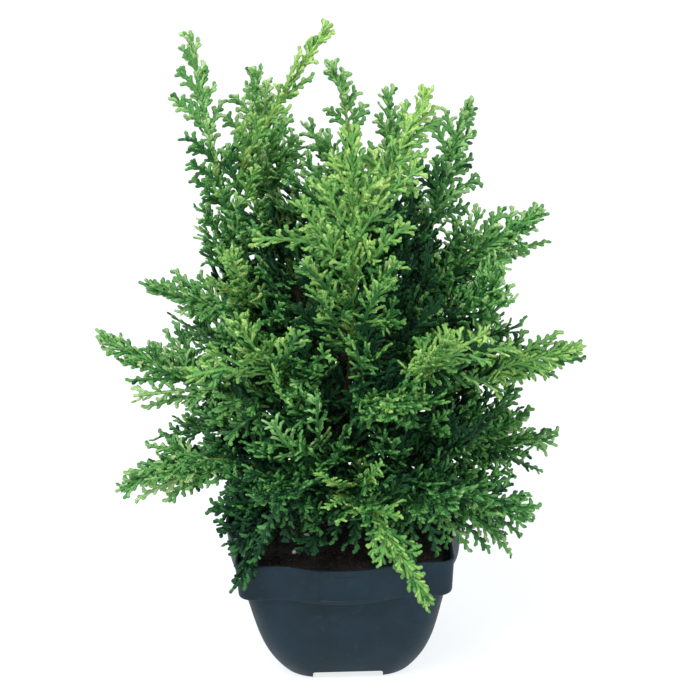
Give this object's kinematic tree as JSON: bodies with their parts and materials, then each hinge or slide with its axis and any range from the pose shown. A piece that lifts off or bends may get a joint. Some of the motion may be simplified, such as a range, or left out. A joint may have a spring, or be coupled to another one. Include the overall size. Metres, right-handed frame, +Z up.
{
  "type": "potted dwarf hinoki cypress",
  "caption": "Small bushy conifer with fan-shaped scaly sprays, several upright leaders and a short hidden trunk, growing in a dark square plastic nursery pot.",
  "frame": {"origin": "middle of the pot's flat underside, on the surface that it stands on", "axes": "+Z up the plant, -Y towards its front, +X to the right seen from the front"},
  "size_m": [0.267, 0.212, 0.369],
  "materials": {
    "pot": "moulded, satin matt",
    "soil": "moist bark compost, rough",
    "bark": "thin stringy bark",
    "foliage": "scale leaves, satin"
  },
  "bodies": {
    "root": {"pot": "pot", "soil": "soil", "trunk": "bark", "left_leader": "bark", "slanted_leader": "bark", "front_leader": "bark", "right_leader": "bark", "back_leader": "bark", "left_back_leader": "bark", "right_upper_bough": "bark", "right_long_bough": "bark", "right_front_bough": "bark", "right_low_bough": "bark", "right_skirt_bough": "bark", "front_skirt_bough": "bark", "left_front_bough": "bark", "left_upper_bough": "bark", "left_long_bough": "bark", "left_low_bough": "bark", "left_skirt_bough": "bark", "back_left_bough": "bark", "back_right_bough": "bark", "back_low_bough": "bark", "slanted_tip_spray": "foliage", "left_tip_spray": "foliage", "middle_tip_spray": "foliage", "front_top_spray": "foliage", "right_tip_spray": "foliage", "right_back_tip_spray": "foliage", "left_back_tip_spray": "foliage", "front_leader_spray": "foliage", "right_long_spray": "foliage", "left_long_spray": "foliage", "left_low_spray": "foliage", "right_upper_spray": "foliage", "right_low_spray": "foliage", "left_upper_spray": "foliage", "front_skirt_spray": "foliage", "right_front_spray": "foliage", "left_front_spray": "foliage", "front_bough_spray": "foliage", "right_skirt_spray": "foliage", "left_skirt_spray": "foliage", "left_flank_spray": "foliage", "right_flank_spray": "foliage", "front_low_spray": "foliage", "front_right_low_spray": "foliage", "back_upper_spray": "foliage", "back_left_spray": "foliage", "back_right_spray": "foliage", "back_middle_spray": "foliage", "back_low_spray": "foliage", "left_back_low_spray": "foliage", "right_back_low_spray": "foliage", "right_back_spray": "foliage", "left_back_spray": "foliage"}
  },
  "joints": []
}
